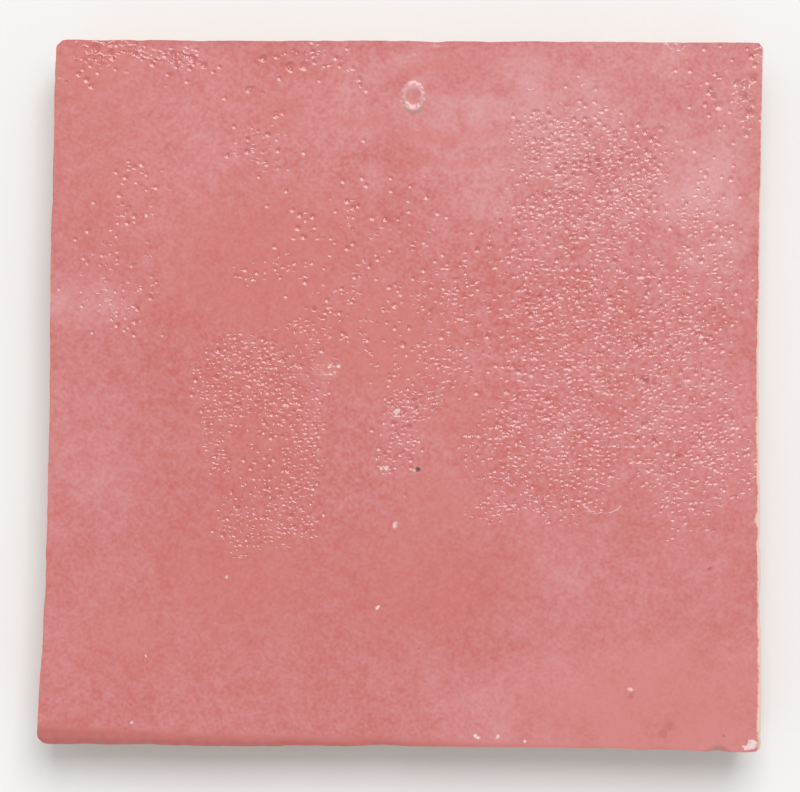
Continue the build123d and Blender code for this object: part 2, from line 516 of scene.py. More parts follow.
@dataclass(frozen=True)
class HandCutTile:
    """The fired tile: glazed face, worn rim, chiselled sides and bare back, in millimetres."""

    node: bpy.types.Object
    rim_gap: float = 0.12
    gap_growth: float = 1.35
    face_gap: float = 0.44
    back_stride: int = 3
    back_margin: int = 9
    back_weld: float = 1e-6
    foot_levels: tuple[float, ...] = (0.0, 0.25, 0.6, 1.1)
    wall_start: float = 1.7
    wall_gap: float = 0.6
    wall_rows: int = 11
    lip_shares: tuple[float, ...] = (0.0, 0.2, 0.38, 0.54, 0.68, 0.8, 0.89, 0.95)
    lip_foot: float = 8.3
    rim_ceiling: float = 12.0
    rim_halvings: int = 14
    rim_facing: float = 0.2
    corner_far: float = 30.0
    corner_near: float = 44.0
    corner_reach: float = 49.0
    arris: float = 0.6
    arris_fall: float = 0.12
    smoothing: int = 90
    smooth_from: float = 0.8
    smooth_over: float = 2.5
    crease: float = 50.0
    wobble: Lumps = Lumps(0.14, 7.0, 5.2)
    nibble: Lumps = Lumps(0.12, 1.9, 9.4)
    chips: Lumps = Lumps(0.5, 4.5, 1.3)
    chip_rarity: float = 0.42
    chip_reach: float = 0.9
    chip_retreat: float = 0.5
    chip_bareness: float = 3.0
    wear: Lumps = Lumps(0.5, 3.0, 6.1)
    wear_reach: float = 0.24
    worn: tuple[float, float, float, float] = (0.08, 0.9, 0.03, 0.03)
    roll_reach: float = 4.2
    roll_run: float = 144.0
    undulation: Lumps = Lumps(0.05, 9.0, 2.6)
    clay_from: float = 0.8
    clay_over: float = 2.5
    clay_break: Lumps = Lumps(0.5, 4.2, 3.1)
    clay_grain: Lumps = Lumps(0.22, 1.1, 7.7)
    back_lumps: Lumps = Lumps(0.25, 6.0, 4.8)
    glaze: GlazeMap = GlazeMap()
    dents: tuple[Patch, ...] = (
        Patch(36.6, -46.9, 0.9, 1.1, 0.10),
        Patch(37.4, -45.7, 0.9, 1.1, 0.10),
        Patch(-0.4, -2.1, 0.6, 0.6, 0.10),
        Patch(1.8, 41.4, 0.9, 1.2, 0.05),
    )

    @cached_property
    def probe(self) -> SlabProbe:
        """The way to look at the slab."""
        return SlabProbe(self.node)

    @cached_property
    def lattice(self) -> Lattice:
        """The lattice across the face.

        Returns:
            A lattice for the width and the length of the slab's box.
        """
        low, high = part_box(self.node.name)
        width, length = (high - low).xy / MM
        return Lattice(self.spread(width), self.spread(length), width, length)

    def spread(self, length: float) -> np.ndarray:
        """Shares along an edge, close together at both ends and even between.

        Args:
            length: The edge's length.

        Returns:
            Rising shares from 0 to 1, the same from either end.
        """
        places = [0.0]
        gap = self.rim_gap
        while places[-1] < length / 2:
            places.append(places[-1] + gap)
            gap = min(gap * self.gap_growth, self.face_gap)
        near = np.array(places) / (2 * places[-1])
        return np.concatenate([near, 1 - near[-2::-1]])

    def corner(self, level: float, upright: Side, flat: Side) -> Vector:
        """Finds the middle of a corner's round.

        Args:
            level: The height to look at.
            upright: The left or right side at the corner.
            flat: The bottom or top side at the corner.

        Returns:
            The point on the round between the two sides.
        """
        toward = upright.out + flat.out
        height = Vector((0, 0, level))
        near, far = [
            Vector(
                (
                    self.probe.from_side(toward * reach + height, upright.out)[0].x,
                    self.probe.from_side(toward * reach + height, flat.out)[0].y,
                    level,
                )
            )
            for reach in (self.corner_near, self.corner_far)
        ]
        run = (self.corner_reach - self.corner_near) / (self.corner_near - self.corner_far)
        return self.probe.from_side(near + (near - far) * run, toward.normalized())[0]

    def aims(self, level: float) -> list[tuple[Vector, Side]]:
        """Points to aim at round the tile, one for each edge point of the lattice.

        Args:
            level: The height to aim at.

        Returns:
            The points as walked, each with the side that it is looked at from.
        """
        corners = [
            self.corner(level, Side.LEFT, Side.BOTTOM),
            self.corner(level, Side.RIGHT, Side.BOTTOM),
            self.corner(level, Side.RIGHT, Side.TOP),
            self.corner(level, Side.LEFT, Side.TOP),
        ]
        points = []
        for number, side in enumerate(Side):
            shares = self.lattice.across if number % 2 == 0 else self.lattice.up
            start, end = corners[number], corners[(number + 1) % len(corners)]
            points += [(start.lerp(end, share), side) for share in shares[:-1]]
        return points

    def rim_loop(self) -> np.ndarray:
        """Finds the rim: the highest points at which the slab still faces sideways.

        Returns:
            One point for each edge point of the lattice, as walked.
        """
        points = []
        for aim, side in self.aims(self.lip_foot):
            low, high = self.lip_foot, self.rim_ceiling
            for _ in range(self.rim_halvings):
                aim.z = (low + high) / 2
                seen = self.probe.from_side(aim, side.out)
                if seen and seen[1].z < self.rim_facing:
                    low = aim.z
                else:
                    high = aim.z
            aim.z = low
            points.append(self.probe.from_side(aim, side.out)[0])
        return np.array(points)

    def inward(self, loop: np.ndarray) -> np.ndarray:
        """The way in from each point of a loop, in plan.

        Args:
            loop: The points, as walked.

        Returns:
            One direction for each point, turning smoothly at the corners.
        """
        along = np.roll(loop, -1, axis=0) - np.roll(loop, 1, axis=0)
        way = np.stack([-along[:, 1], along[:, 0], np.zeros(len(loop))], axis=1)
        return way / np.linalg.norm(way, axis=1, keepdims=True)

    def face_heights(self, points: np.ndarray) -> np.ndarray:
        """Takes the heights of the face from the slab and irons out the facets of its mesh.

        Args:
            points: The lattice's points, with the rim's heights spanned between them.

        Returns:
            The height at each point of the lattice.
        """
        seen = np.array([self.probe.from_above(*point) for point in points.reshape(-1, 3)])
        inside = self.lattice.inside()
        heights = np.where(inside > 0, seen.reshape(inside.shape), points[:, :, 2])
        loose = np.clip((inside - self.smooth_from) / self.smooth_over, 0, 1)[1:-1, 1:-1]
        for _ in range(self.smoothing):
            around = heights[:-2, 1:-1] + heights[2:, 1:-1] + heights[1:-1, :-2] + heights[1:-1, 2:]
            heights[1:-1, 1:-1] += loose * (around / 4 - heights[1:-1, 1:-1])
        sharp = heights.copy()
        column = np.searchsorted(self.lattice.across * self.lattice.width, self.arris)
        row = np.searchsorted(self.lattice.up * self.lattice.length, self.arris)
        sharp[:column] = sharp[column]
        sharp[-column:] = sharp[-column - 1]
        sharp[:, :row] = sharp[:, [row]]
        sharp[:, -row:] = sharp[:, [-row - 1]]
        broken = np.clip((sharp - heights) / self.arris_fall - 1, 0, 1)
        return np.minimum(sharp + (heights - sharp) * broken, heights.max())

    def face_points(self, rim: np.ndarray, chips: np.ndarray) -> np.ndarray:
        """Lays the glazed face within the worn rim, with its waves, dents and chips.

        Args:
            rim: The worn rim's points, as walked.
            chips: How deep the rim is chipped at each point.

        Returns:
            The points of the face, by column and row.
        """
        face = self.lattice.fill(rim)
        face[:, :, 2] = self.face_heights(face)
        x, y = face[:, :, 0], face[:, :, 1]
        drop = self.lattice.soak(np.sqrt(chips), self.chip_reach) ** 2
        calm = np.clip(self.lattice.inside() / self.smooth_over, 0, 1)
        waves = self.undulation.share(face.reshape(-1, 3) * (1, 1, 0)).reshape(x.shape)
        face[:, :, 2] -= drop + covered(self.dents, x, y) + calm * self.undulation.height * (1 + waves) / 2
        return face

    def side_rows(self, rim: np.ndarray, retreat: np.ndarray) -> np.ndarray:
        """Makes the chiselled sides, from the foot up to just under the rim.

        Args:
            rim: The rim's points, as walked.
            retreat: How far the worn rim stands in from the slab's, for each point.

        Returns:
            The points by row, each row as walked.
        """
        wall_levels = [self.wall_start + self.wall_gap * row for row in range(self.wall_rows)]
        levels = [np.full(len(rim), level) for level in (*self.foot_levels, *wall_levels)]
        levels += [self.lip_foot + share * (rim[:, 2] - self.lip_foot) for share in self.lip_shares]
        rows = []
        for heights in levels:
            points = []
            aims = self.aims(min(heights.mean(), self.lip_foot))
            for (aim, side), height in zip(aims, heights):
                aim.z = height
                points.append(self.probe.from_side(aim, side.out)[0])
            row = np.array(points)
            clay = np.clip((rim[:, 2] - heights - self.clay_from) / self.clay_over, 0, 1)
            broken = self.clay_break.raised(row) + np.abs(self.clay_grain.swing(row))
            lip = np.clip((heights - self.lip_foot) / (rim[:, 2] - self.lip_foot), 0, 1)
            rows.append(row + self.inward(row) * (clay * broken + lip * retreat)[:, None])
        return np.array(rows)

    def back_points(self, foot: np.ndarray) -> np.ndarray:
        """Strews points over the uneven back.

        Args:
            foot: The points round the back, as walked.

        Returns:
            The points within it.
        """
        spare = slice(self.back_margin, -self.back_margin, self.back_stride)
        inner = self.lattice.fill(foot)[spare, spare].reshape(-1, 3)
        inner[:, 2] += self.back_lumps.raised(inner)
        return inner

    def back_faces(self, foot: np.ndarray, inner: np.ndarray) -> np.ndarray:
        """Closes the back with triangles.

        Args:
            foot: The points round the back.
            inner: The points within it.

        Returns:
            The corners of the triangles, numbered through the foot and then the inner points.
        """
        points = [Vector(point[:2]) for point in np.concatenate([foot, inner])]
        outline = list(range(len(foot)))
        inside_only = 1
        _, _, faces, origins, _, _ = delaunay_2d_cdt(points, [], [outline], inside_only, self.back_weld)
        numbers = [origin[0] for origin in origins]
        return np.array([[numbers[corner] for corner in reversed(face)] for face in faces])

    def rim_traits(
        self, rim: np.ndarray, chips: np.ndarray, below: np.ndarray, inner_count: int
    ) -> dict[Trait, np.ndarray]:
        """Works out how far below the rim, how bare and how rolled each point of the skin is.

        Args:
            rim: The slab's rim, as walked.
            chips: How deep the rim is chipped at each point.
            below: How far the points of the sides lie below the rim, by row.
            inner_count: How many points the back has within its edge.

        Returns:
            The value of each of these traits at every point.
        """
        worn = np.repeat(self.worn, self.lattice.side_counts())
        worn = np.clip(worn + self.wear.swing(rim) * worn, 0, 1)
        chipped = worn * np.minimum(np.sqrt(chips / self.chips.height) * self.chip_bareness, 1)
        bare = self.lattice.soak(worn, self.wear_reach)
        bare = np.maximum(bare, self.lattice.soak(chipped, self.chip_reach))
        bare_sides = worn * np.clip(1 - below / self.wear_reach, 0, 1)
        roll = np.where(np.arange(len(rim)) < len(self.lattice.across), 1.0, 0.0)
        roll = roll * np.exp(-np.sqrt(np.clip(rim[:, 0] - rim[0, 0], 0, None) / self.roll_run))
        rolled = self.lattice.soak(roll, self.roll_reach)
        behind = np.zeros(inner_count)
        return {
            Trait.BELOW: np.concatenate([np.zeros(bare.size), below.ravel(), behind + self.rim_ceiling]),
            Trait.BARE: np.concatenate([bare.ravel(), bare_sides.ravel(), behind]),
            Trait.ROLLED: np.concatenate([rolled.ravel(), np.tile(roll, len(below)), behind]),
        }

    def build(self) -> bpy.types.Object:
        """Makes the tile's skin as one closed mesh over the slab.

        Returns:
            The tile's object, with its traits and its bake sheet.
        """
        rim = self.rim_loop()
        chips = self.chips.raised(rim, self.chip_rarity)
        retreat = self.wobble.raised(rim) + self.nibble.raised(rim) + self.chip_retreat * chips
        worn_rim = rim + self.inward(rim) * retreat[:, None]
        face = self.face_points(worn_rim, chips)
        face_rim = face.reshape(-1, 3)[self.lattice.walk()]
        rows = self.side_rows(face_rim, retreat)
        inner = self.back_points(rows[0])

        points = np.concatenate([face.reshape(-1, 3), rows.reshape(-1, 3), inner])
        below = face_rim[:, 2] - rows[:, :, 2]
        traits = self.rim_traits(rim, chips, below, len(inner)) | self.glaze.traits(points)
        return self.join(points, len(rows), traits)

    def join(
        self, points: np.ndarray, row_count: int, traits: Mapping[Trait, np.ndarray]
    ) -> bpy.types.Object:
        """Joins the points of the skin into a mesh.

        Args:
            points: The face's points, the sides' points by row and the back's inner points.
            row_count: How many rows the sides have under the rim.
            traits: The traits of each point.

        Returns:
            The object that carries the mesh.
        """
        sheet = BakeSheet()
        walk = self.lattice.walk()
        numbers = self.lattice.numbers()
        first_inner = numbers.size + row_count * len(walk)
        rows = np.arange(numbers.size, first_inner).reshape(row_count, len(walk))
        rings = np.concatenate([rows, walk[None]])

        quads = [cells(numbers)]
        shares = np.meshgrid(self.lattice.across, self.lattice.up, indexing="ij")
        sheets = [cells(sheet.face(*shares))]
        rise = np.linspace(0, 1, len(rings))
        start = 0
        for number, count in enumerate(self.lattice.side_counts()):
            steps = np.arange(start, start + count + 1) % len(walk)
            along = np.linspace(0, 1, count + 1)
            quads.append(cells(rings[:, steps].T))
            sheets.append(cells(sheet.strip(number, *np.meshgrid(along, rise, indexing="ij"))))
            start += count

        behind = np.concatenate([rings[0], np.arange(first_inner, len(points))])
        triangles = behind[self.back_faces(points[rings[0]], points[first_inner:])]
        plan = points[triangles] / (self.lattice.width, self.lattice.length, 1) + 1 / 2
        sheets.append(sheet.back(plan[:, :, 0], plan[:, :, 1]))

        mesh = bpy.data.meshes.new("hand_cut_tile")
        faces = np.concatenate([part.reshape(-1, 4) for part in quads]).tolist() + triangles.tolist()
        mesh.from_pydata((points * MM).tolist(), [], faces)
        layer = mesh.uv_layers.new(name="OFBake")
        flat = np.concatenate([part.reshape(-1, 2) for part in sheets])
        layer.uv.foreach_set("vector", flat.ravel().astype(np.float32))
        for trait, values in traits.items():
            attribute = mesh.attributes.new(trait.value, "FLOAT", "POINT")
            attribute.data.foreach_set("value", values.astype(np.float32))
        mesh.shade_smooth()
        mesh.set_sharp_from_angle(angle=math.radians(self.crease))
        piece = bpy.data.objects.new("hand_cut_tile", mesh)
        bpy.context.scene.collection.objects.link(piece)
        return piece

    def dress(self, piece: bpy.types.Object, finish: "GlazedClay") -> None:
        """Gives the tile its finish and hangs it on the frame.

        Args:
            piece: The tile's object.
            finish: Its glaze and clay.
        """
        piece.data.materials.append(finish.make())
        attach(piece, "root")
        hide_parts("tile")


class Signal:
    """The output of a shader node, with arithmetic that adds Math nodes."""

    def __init__(self, board: "NodeBoard", socket: bpy.types.NodeSocket) -> None:
        """Wraps a socket.

        Args:
            board: The board that the socket's node is on.
            socket: The output socket.
        """
        self.board = board
        self.socket = socket

    def __add__(self, other: "Signal | float") -> "Signal":
        """This plus the other."""
        return self.board.math("ADD", self, other)

    def __radd__(self, other: float) -> "Signal":
        """The other plus this."""
        return self.board.math("ADD", other, self)

    def __sub__(self, other: "Signal | float") -> "Signal":
        """This less the other."""
        return self.board.math("SUBTRACT", self, other)

    def __rsub__(self, other: float) -> "Signal":
        """The other less this."""
        return self.board.math("SUBTRACT", other, self)

    def __mul__(self, other: "Signal | float") -> "Signal":
        """This times the other."""
        return self.board.math("MULTIPLY", self, other)

    def __rmul__(self, other: float) -> "Signal":
        """The other times this."""
        return self.board.math("MULTIPLY", other, self)

    def at_least(self, other: "Signal | float") -> "Signal":
        """The larger of this and the other."""
        return self.board.math("MAXIMUM", self, other)

    def size(self) -> "Signal":
        """This without its sign."""
        return self.board.math("ABSOLUTE", self)

    def step(self, start: float, end: "Signal | float", low: float, high: float) -> "Signal":
        """A soft step from one value where this is at the start to another where it is at the end."""
        sockets = {"Value": self, "From Min": start, "From Max": end, "To Min": low, "To Max": high}
        return self.board.add("ShaderNodeMapRange", {"interpolation_type": "SMOOTHSTEP"}, sockets, "Result")

    def rise(self, start: float, end: float) -> "Signal":
        """A soft step up from 0 where this is at the start to 1 where it is at the end."""
        return self.step(start, end, 0.0, 1.0)

    def fade(self, start: float, end: "Signal | float", value: float) -> "Signal":
        """A soft step down from a value where this is at the start to 0 where it is at the end."""
        return self.step(start, end, value, 0.0)


class NodeBoard:
    """The nodes of a material or a world, added one at a time."""

    cloud_roughness: float = 0.55

    def __init__(self, tree: bpy.types.NodeTree) -> None:
        """Clears a node tree to work on.

        Args:
            tree: The node tree.
        """
        self.tree = tree
        self.tree.nodes.clear()

    def put(
        self, kind: str, settings: Mapping[str, object], sockets: Mapping[str | int, object]
    ) -> bpy.types.Node:
        """Puts a node on the board.

        Args:
            kind: The node's type.
            settings: Its settings, which are set first.
            sockets: The values and links of its input sockets.

        Returns:
            The node.
        """
        node = self.tree.nodes.new(kind)
        for name, value in settings.items():
            setattr(node, name, value)
        for name, value in sockets.items():
            if isinstance(value, Signal):
                self.tree.links.new(value.socket, node.inputs[name])
            else:
                node.inputs[name].default_value = value
        return node

    def add(
        self,
        kind: str,
        settings: Mapping[str, object],
        sockets: Mapping[str | int, object],
        output: str | int = 0,
    ) -> Signal:
        """Puts a node on the board and wraps one of its output sockets."""
        return Signal(self, self.put(kind, settings, sockets).outputs[output])

    def math(self, operation: str, *values: "Signal | float") -> Signal:
        """Adds a Math node on one or more values."""
        return self.add("ShaderNodeMath", {"operation": operation}, dict(enumerate(values)))

    def vector(self, operation: str, first: Signal, second: "Signal | Triple") -> Signal:
        """Adds a Vector Math node on two vectors."""
        return self.add("ShaderNodeVectorMath", {"operation": operation}, {0: first, 1: second})

    def length(self, vector: Signal) -> Signal:
        """The length of a vector."""
        return self.add("ShaderNodeVectorMath", {"operation": "LENGTH"}, {0: vector}, "Value")

    def blend(self, under: "Signal | Colour", over: "Signal | Colour", share: "Signal | float") -> Signal:
        """Lays a share of one colour over another."""
        return self.add("ShaderNodeMix", {"data_type": "RGBA"}, {0: share, 6: under, 7: over}, 2)

    def trait(self, trait: Trait) -> Signal:
        """Reads a trait of the skin."""
        return self.add("ShaderNodeAttribute", {"attribute_name": trait.value}, {}, "Fac")

    def cloud(self, place: Signal, pitch: float, detail: float = 0.0, flat: bool = False) -> Signal:
        """Adds even noise.

        Args:
            place: The place.
            pitch: About how far apart the lumps are, in the units of the place.
            detail: How many finer folds lie over them.
            flat: Whether the noise is the same at every height.

        Returns:
            The noise, from about -0.5 to 0.5.
        """
        settings = {"noise_dimensions": "2D" if flat else "3D"}
        sockets = {"Vector": place, "Scale": 1 / pitch, "Detail": detail, "Roughness": self.cloud_roughness}
        return self.add("ShaderNodeTexNoise", settings, sockets, "Fac") - 1 / 2

    def drift(self, place: Signal, way: Triple, share: Signal) -> Signal:
        """Moves a place by a share of a way, so that what is drawn there is uneven."""
        move = self.add("ShaderNodeVectorMath", {"operation": "SCALE"}, {0: way, "Scale": share})
        return self.vector("ADD", place, move)

    def also(self, signal: Signal, output: str | int) -> Signal:
        """Another output of the node that a signal comes from."""
        return Signal(self, signal.socket.node.outputs[output])


@dataclass(frozen=True)
class Chance:
    """The kinds of unevenness that the finish draws on, from broad to fine, each about 0."""

    clouds: Signal
    smudge: Signal
    mottle: Signal
    grain: Signal


@dataclass(frozen=True)
class Blotch:
    """A plain level, and how much of each kind of unevenness is added to it."""

    level: float = 0.0
    clouds: float = 0.0
    smudge: float = 0.0
    mottle: float = 0.0
    grain: float = 0.0

    def of(self, chance: Chance) -> Signal:
        """Works out the uneven value.

        Args:
            chance: The kinds of unevenness.

        Returns:
            The level with its share of each kind.
        """
        shares = (self.clouds, self.smudge, self.mottle, self.grain)
        kinds = (chance.clouds, chance.smudge, chance.mottle, chance.grain)
        return sum((share * kind for share, kind in zip(shares, kinds) if share), start=self.level)


@dataclass(frozen=True)
class Mark:
    """A mark where a trait of the skin is strong, with an uneven soft edge."""

    trait: Trait
    blotch: Blotch
    start: float
    full: float

    def mask(self, board: NodeBoard, chance: Chance, less: "Signal | float" = 0.0) -> Signal:
        """Where the mark is, from 0 outside it to 1 within it, with an amount taken off the trait."""
        return (board.trait(self.trait) + self.blotch.of(chance) - less).rise(self.start, self.full)


@dataclass(frozen=True)
class Scatter:
    """Small hollows strewn by chance where a trait of the skin is strong, in millimetres."""

    trait: Trait
    blotch: Blotch
    gain: float
    stray: float
    across: float
    up: float
    radius: float
    depth: float
    start: float = 0.0
    fringe: float = 0.12
    least_radius: float = 0.6
    least_depth: float = 0.65

    def mask(self, board: NodeBoard, place: Signal, chance: Chance) -> Signal:
        """Where the hollows are.

        Args:
            board: The material's nodes.
            place: The place in millimetres.
            chance: The kinds of unevenness.

        Returns:
            0 outside the hollows, rising to up to 1 in the middle of each.
        """
        share = (board.trait(self.trait) + self.blotch.of(chance)) * self.gain + self.stray
        shifted = board.vector("ADD", place, (self.start, self.start, 0.0))
        scaled = board.vector("MULTIPLY", shifted, (1 / self.across, 1 / self.up, 0.0))
        sockets = {"Vector": scaled, "Scale": 1.0}
        away = board.add("ShaderNodeTexVoronoi", {"voronoi_dimensions": "2D"}, sockets, "Distance")
        rank = board.add("ShaderNodeSeparateColor", {}, {"Color": board.also(away, "Color")}, "Red")
        size = board.also(rank, "Green")
        radius = self.radius * (self.least_radius + (1 - self.least_radius) * size)
        depth = self.least_depth + (1 - self.least_depth) * size
        return (share - rank).rise(0.0, self.fringe) * depth * away.fade(0.0, radius, 1.0)


@dataclass(frozen=True)
class GlazeMarks:
    """Where each kind of mark in the glaze is, from 0 outside it to its strength within it."""

    fine_pits: Signal
    bold_pits: Signal
    beads: Signal
    rings: Signal
    ring_soil_and_shadow: Signal
    pinholes: Signal
    dark_specks_and_dent_shade: Signal
    pale_dots_and_glints: Signal
    pimples: Signal
    blebs: Signal


@dataclass(frozen=True)
class GlazedClay:
    """Pink opaque glaze over sandy earthenware, in linear colours and millimetres."""

    pale: Colour = (0.708, 0.308, 0.316, 1.0)
    deep: Colour = (0.508, 0.045, 0.024, 1.0)
    warm: Colour = (0.612, 0.150, 0.126, 1.0)
    # Pale colour of the ring lines: partly a paler glaze line, partly a painted highlight along the raised
    # ring.
    ring_pale_and_highlight: Colour = (0.720, 0.380, 0.380, 1.0)
    # Darker red laid in the pits and blebs: partly glaze pooled in them, partly painted shade on their
    # walls.
    pit_pool_and_shade: Colour = (0.460, 0.070, 0.064, 1.0)
    # Darker, browner colour laid along the rolled bottom edge: painted shade of the bevel that turns away
    # from the lamp.
    rolled: Colour = (0.500, 0.112, 0.094, 1.0)
    cream: Colour = (0.800, 0.580, 0.480, 1.0)
    # Near-white colour of the flaked corner: the clay laid bare, with a painted highlight on the facet.
    chip_and_highlight: Colour = (0.890, 0.720, 0.690, 1.0)
    # Olive-brown crescent colour under the blister ring: partly soil, partly painted shadow under the
    # raised ring.
    soil_and_shadow: Colour = (0.300, 0.190, 0.110, 1.0)
    clay: Colour = (0.560, 0.370, 0.240, 1.0)
    clay_dark: Colour = (0.400, 0.240, 0.150, 1.0)
    # Near-black colour of the pinhole: painted shade in the hole.
    pinhole_shade: Colour = (0.060, 0.040, 0.035, 1.0)
    # Dark red spots: partly dark specks in the glaze, partly painted shade in dents and hollows.
    dark_speck_and_dent_shade: Colour = (0.420, 0.060, 0.055, 1.0)
    # Pale dot colour: partly clay showing at pinholes and edge chips, partly painted glints.
    pale_dot_and_glint: Colour = (0.860, 0.700, 0.620, 1.0)
    glaze_roughness: Blotch = Blotch(0.20, clouds=0.08)
    glaze_ior: float = 1.65
    clay_roughness: float = 0.88
    haze_roughness: float = 0.42
    haze_weight: float = 0.35
    # How much paler hazy glaze is painted: partly paler glaze, partly painted sheen.
    painted_sheen_tone: float = 0.3
    haze_blotch: Blotch = Blotch(1.0, clouds=1.0, smudge=1.5)
    warmth_blotch: Blotch = Blotch(1.0, smudge=1.0)
    warmth_share: float = 0.6
    tone: Blotch = Blotch(0.47, clouds=0.25, smudge=0.22)
    texture: Blotch = Blotch(mottle=0.6, grain=0.5)
    calm_texture: float = 0.8
    lively_texture: float = 0.4
    deep_tone: float = -0.3
    pale_tone: float = 1.3
    mottle_pitch: float = 1.4
    mottle_detail: float = 2.0
    grain_pitch: float = 0.5
    unevenness: Triple = (0.55, 0.40, 0.0)
    turn: float = 0.9
    turn_axis: Triple = (0.5, 0.7, 0.4)
    fine_pits: Scatter = Scatter(
        trait=Trait.DIMPLED,
        blotch=Blotch(-0.3, smudge=0.6),
        gain=1.5,
        stray=0.0,
        across=0.82,
        up=0.60,
        radius=0.66,
        depth=0.076,
    )
    bold_pits: Scatter = Scatter(
        trait=Trait.PITTED,
        blotch=Blotch(smudge=0.4),
        gain=0.75,
        stray=0.01,
        across=1.28,
        up=1.28,
        radius=0.45,
        depth=0.110,
        start=31.0,
    )
    # How strongly pits and blebs take that darker red: partly pooled glaze, partly painted shade.
    fine_pit_pool_and_shade: float = 0.4
    bold_pit_pool_and_shade: float = 0.75
    bleb_pool_and_shade: float = 0.3
    beaded: Mark = Mark(Trait.BEADED, Blotch(smudge=1.5), 0.35, 0.85)
    bead_across: float = 0.80
    bead_up: float = 0.62
    bead_full: float = 0.3
    bead_height: float = 0.085
    roll: Mark = Mark(Trait.ROLLED, Blotch(grain=0.1), 0.38, 0.60)
    # How strongly the rolled edge takes its painted shade.
    rolled_shade_blotch: Blotch = Blotch(0.8, mottle=1.2)
    bare: Mark = Mark(Trait.BARE, Blotch(grain=0.3), 0.35, 0.65)
    flake: Mark = Mark(Trait.FLAKED, Blotch(grain=0.9), 0.40, 0.60)
    flake_blotch: Blotch = Blotch(0.85, mottle=1.0)
    unglazed: Mark = Mark(Trait.BELOW, Blotch(grain=0.6), -0.2, 0.2)
    lap: float = 1.6
    lap_unevenness: float = 4.0
    lap_least: float = -0.2
    lap_on_roll: float = 1.5
    earth: Blotch = Blotch(0.5, clouds=0.8, mottle=1.2, grain=1.0)
    earth_start: float = 0.2
    earth_full: float = 1.0
    earth_relief: float = 0.22
    ring_blotch: Blotch = Blotch(0.9, grain=0.7)
    # How much of that pale colour, partly painted highlight, the ring lines take.
    ring_share: float = 0.9
    ring_height: float = 0.06
    half_start: float = -0.5
    half_end: float = 0.1
    # How strongly the crescent takes its soil and painted shadow.
    soil_and_shadow_share: float = 0.6
    spot_core: float = 0.3
    pimple_height: float = 0.11
    pinhole_depth: float = 0.2
    bleb_depth: float = 0.095
    pinholes: tuple[Spot, ...] = (Spot(2.5, -10.2, 0.42, 1.0),)
    # Those at (34.2, 2.3), (42.9, -24.0) and (45.0, -47.1) are dark specks in the glaze; the rest are
    # painted shade, in the pit by the middle, under the pimple and in the dent.
    dark_specks_and_dent_shade: tuple[Spot, ...] = (
        Spot(-0.5, -1.6, 0.36, 0.8),
        Spot(34.2, 2.3, 0.75, 0.9),
        Spot(42.9, -24.0, 0.36, 0.7),
        Spot(45.0, -47.1, 0.34, 0.7),
        Spot(32.1, -41.7, 0.6, 0.4),
        Spot(36.5, -46.9, 0.95, 0.36),
        Spot(37.3, -45.8, 0.95, 0.36),
    )
    # Pale dots: partly clay showing at pinholes and edge chips, partly painted glints, as in the pair at y
    # -10.0 and the three near (-9, 4).
    pale_dots_and_glints: tuple[Spot, ...] = (
        Spot(-0.4, -2.1, 0.52, 0.85),
        Spot(1.95, -10.3, 0.3, 0.7),
        Spot(-0.7, -17.9, 0.55, 0.75),
        Spot(-2.6, -10.0, 0.40, 0.8),
        Spot(-1.9, -10.0, 0.42, 0.8),
        Spot(-3.1, -29.4, 0.32, 0.9),
        Spot(-35.3, -36.1, 0.3, 0.8),
        Spot(-37.3, -45.4, 0.3, 0.6),
        Spot(-24.1, -25.2, 0.32, 0.7),
        Spot(-9.6, 4.3, 0.3, 0.5),
        Spot(-8.5, 4.1, 0.35, 0.9),
        Spot(-9.0, 3.3, 0.3, 0.45),
        Spot(10.4, -47.2, 0.32, 1.0),
        Spot(10.8, -47.5, 0.36, 1.0),
        Spot(13.6, -47.3, 0.32, 0.8),
        Spot(17.3, -48.0, 0.28, 0.9),
    )
    pimples: tuple[Spot, ...] = (Spot(31.9, -41.3, 0.9, 1.0),)
    blebs: tuple[Spot, ...] = (
        Spot(-42.2, 48.4, 0.8, 1.3),
        Spot(-40.1, 47.8, 0.6, 1.1),
        Spot(-31.5, 47.5, 0.6, 1.1),
        Spot(-28.8, 46.9, 0.7, 1.2),
        Spot(-27.2, 46.0, 0.6, 1.1),
        Spot(-19.0, 47.0, 0.7, 1.2),
        Spot(-21.0, 42.6, 0.6, 1.1),
        Spot(-15.2, 45.9, 0.8, 1.3),
        Spot(-13.3, 45.9, 0.8, 1.3),
        Spot(-5.6, 44.1, 0.6, 1.0),
        Spot(-16.3, 39.4, 0.5, 0.9),
        Spot(16.4, 38.0, 0.5, 1.0),
        Spot(27.2, 42.8, 0.5, 1.0),
        Spot(44.3, 40.4, 0.8, 1.2),
        Spot(47.6, 41.8, 0.8, 1.2),
        Spot(49.0, 44.2, 0.8, 1.2),
        Spot(47.8, 43.2, 0.6, 1.1),
        Spot(43.6, 41.7, 0.6, 1.1),
        Spot(48.9, 40.6, 0.7, 1.2),
        Spot(48.5, 39.3, 0.8, 1.2),
        Spot(48.1, 36.4, 0.6, 1.1),
        Spot(36.3, 37.2, 0.5, 1.0),
        Spot(42.4, 30.8, 0.5, 1.0),
    )
    rings: tuple[Ring, ...] = (
        Ring(1.8, 41.5, 1.3, 1.7, 0.30, False),
        Ring(28.1, -15.1, 2.5, 1.2, 0.14, True),
    )
    # The crescent under the blister ring, laid with soil and painted shadow.
    ring_soil_and_shadow: tuple[Ring, ...] = (Ring(1.9, 41.4, 1.5, 1.95, 0.16, True),)

